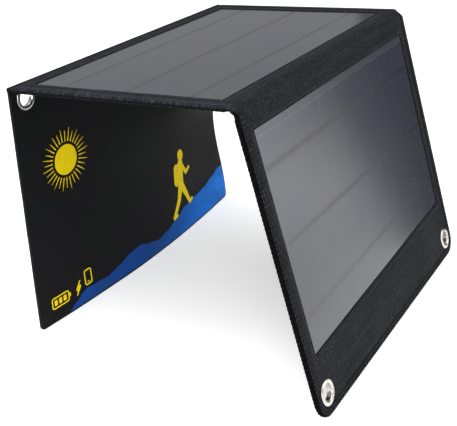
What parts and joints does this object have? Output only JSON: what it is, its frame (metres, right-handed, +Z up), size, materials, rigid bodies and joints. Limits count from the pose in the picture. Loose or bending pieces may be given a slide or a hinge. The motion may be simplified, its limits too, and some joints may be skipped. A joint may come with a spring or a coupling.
{
  "type": "folding solar phone charger",
  "caption": "Folding fabric solar charger with hinged solar leaves, a printed cover, grommets and a zipped controller pocket, standing as a tent.",
  "frame": {"origin": "middle of the base of the standing charger's box, on the floor", "axes": "+Z up, +Y along the folds away from the front edge, +X towards the side leaf"},
  "size_m": [0.2656, 0.3, 0.2161],
  "materials": {
    "woven_cloth": "charcoal oxford weave, matte",
    "edge_binding": "charcoal bound edge with two stitch rows",
    "printed_face": "smooth black printed laminate with a blue and yellow picture",
    "lining_cloth": "dark plain weave",
    "panel_film": "satin grey top film",
    "solar_cell": "dark monocrystalline silicon",
    "busbar_ribbon": "tinned flat ribbon",
    "backing_board": "pale stiff sheet",
    "grommet_metal": "nickel plated, pressed",
    "zip_tape": "woven zip tape",
    "zip_coil": "nylon coil",
    "zip_metal": "gunmetal",
    "case_plastic": "fine spark-eroded texture",
    "circuit_board": "green solder mask",
    "socket_shell": "stamped sheet",
    "lead_jacket": "flat twin lead"
  },
  "bodies": {
    "top_leaf": {"top_front_cloth": "woven_cloth", "top_back_cloth": "woven_cloth", "top_film": "panel_film", "top_board": "backing_board", "top_ribbons": "busbar_ribbon", "top_cell_01": "solar_cell", "top_cell_02": "solar_cell", "top_cell_03": "solar_cell", "top_cell_04": "solar_cell", "top_cell_05": "solar_cell", "top_cell_06": "solar_cell", "top_cell_07": "solar_cell", "top_cell_08": "solar_cell", "top_cell_09": "solar_cell", "top_cell_10": "solar_cell", "top_cell_11": "solar_cell", "top_cell_12": "solar_cell", "top_binding_front": "edge_binding", "top_binding_back": "edge_binding"},
    "side_leaf": {"side_front_cloth": "woven_cloth", "side_back_cloth": "woven_cloth", "side_film": "panel_film", "side_board": "backing_board", "side_ribbons": "busbar_ribbon", "side_cell_01": "solar_cell", "side_cell_02": "solar_cell", "side_cell_03": "solar_cell", "side_cell_04": "solar_cell", "side_cell_05": "solar_cell", "side_cell_06": "solar_cell", "side_cell_07": "solar_cell", "side_cell_08": "solar_cell", "side_cell_09": "solar_cell", "side_cell_10": "solar_cell", "side_cell_11": "solar_cell", "side_cell_12": "solar_cell", "side_binding": "edge_binding", "side_eyelet_front": "grommet_metal", "side_washer_front": "grommet_metal", "side_eyelet_back": "grommet_metal", "side_washer_back": "grommet_metal"},
    "cover": {"cover_eyelet_front": "grommet_metal", "cover_washer_front": "grommet_metal", "cover_eyelet_back": "grommet_metal", "cover_washer_back": "grommet_metal", "cover_print": "printed_face", "cover_lining": "lining_cloth", "cover_stiffener": "backing_board", "pocket_panel": "woven_cloth", "zip_tape": "zip_tape", "zip_coil": "zip_coil", "case_base": "case_plastic", "case_lid": "case_plastic", "controller_pcb": "circuit_board", "usb_socket_1": "socket_shell", "usb_socket_2": "socket_shell", "panel_lead": "lead_jacket"},
    "fold_spine": {"fold_spine": "woven_cloth"},
    "zip_slider": {"zip_slider": "zip_metal"},
    "zip_puller": {"zip_puller": "zip_metal"}
  },
  "joints": [
    {"name": "panel_fold_near", "type": "hinge", "parent": "top_leaf", "child": "fold_spine", "pos_m": [0.05834, 0, 0.21474], "axis": [0, -1, 0], "range_deg": [-19, 128]},
    {"name": "panel_fold_far", "type": "hinge", "parent": "fold_spine", "child": "side_leaf", "pos_m": [0.06293, 0, 0.21171], "axis": [0, -1, 0], "range_deg": [-19, 128]},
    {"name": "cover_fold", "type": "hinge", "parent": "top_leaf", "child": "cover", "pos_m": [-0.12222, 0, 0.20036], "axis": [0, 1, 0], "range_deg": [-12, 87.2]},
    {"name": "zip_slide", "type": "slide", "parent": "cover", "child": "zip_slider", "axis": [0, 1, 0], "range_m": [0, 0.172]},
    {"name": "puller_swing", "type": "hinge", "parent": "zip_slider", "child": "zip_puller", "pos_m": [-0.12369, -0.086, 0.13225], "axis": [-0.0401, 0, 0.9992], "range_deg": [0, 170]}
  ]
}
